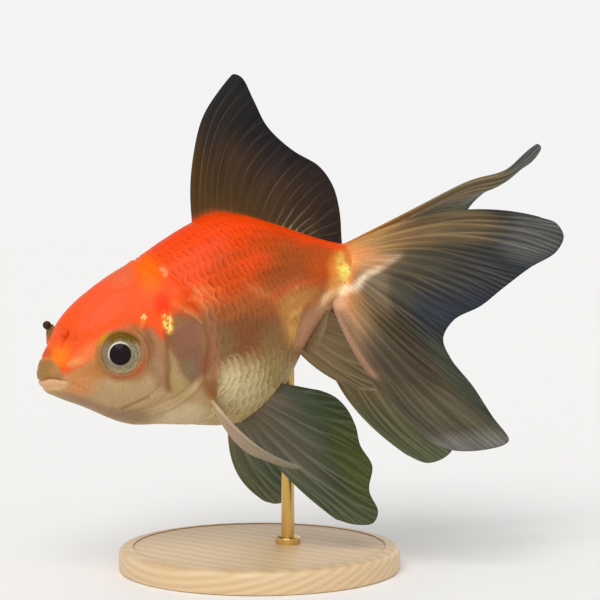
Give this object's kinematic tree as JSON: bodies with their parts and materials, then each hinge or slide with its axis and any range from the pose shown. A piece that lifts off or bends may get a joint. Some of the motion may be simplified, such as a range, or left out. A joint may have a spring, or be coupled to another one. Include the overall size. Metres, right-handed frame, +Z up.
{
  "type": "fancy goldfish model",
  "caption": "Still, life-size fancy goldfish with flowing fins and a split tail, held nose-down above a plain round wooden foot on a thin brass rod.",
  "frame": {"origin": "middle of the underside of the stand's round foot", "axes": "+Z up, -X towards the snout, -Y towards the fish's left side"},
  "size_m": [0.1085, 0.056, 0.098],
  "materials": {
    "skin": "moist, glossy orange scales and skin",
    "eye": "polished, silvery iris with a black pupil",
    "dark_fin": "satin, dark brown to green, with raised rays",
    "tail_fin": "satin, brown with golden rays and a slate edge",
    "pale_fin": "satin, pale beige with raised rays",
    "stand_wood": "oiled beech",
    "stand_brass": "satin"
  },
  "bodies": {
    "root": {"head": "skin", "lower_jaw": "skin", "gill_cover_left": "skin", "gill_cover_right": "skin", "trunk": "skin", "tail_stalk": "skin", "nostril_flap_left": "skin", "nostril_flap_right": "skin", "eye_left": "eye", "eye_right": "eye", "dorsal_fin": "dark_fin", "pectoral_fin_left": "pale_fin", "pectoral_fin_right": "pale_fin", "pelvic_fin_left": "dark_fin", "pelvic_fin_right": "dark_fin", "anal_fin_left": "pale_fin", "anal_fin_right": "tail_fin", "tail_fin_left_upper": "tail_fin", "tail_fin_left_lower": "tail_fin", "tail_fin_right_upper": "tail_fin", "tail_fin_right_lower": "tail_fin", "stand_base": "stand_wood", "stand_rod": "stand_brass"}
  },
  "joints": []
}
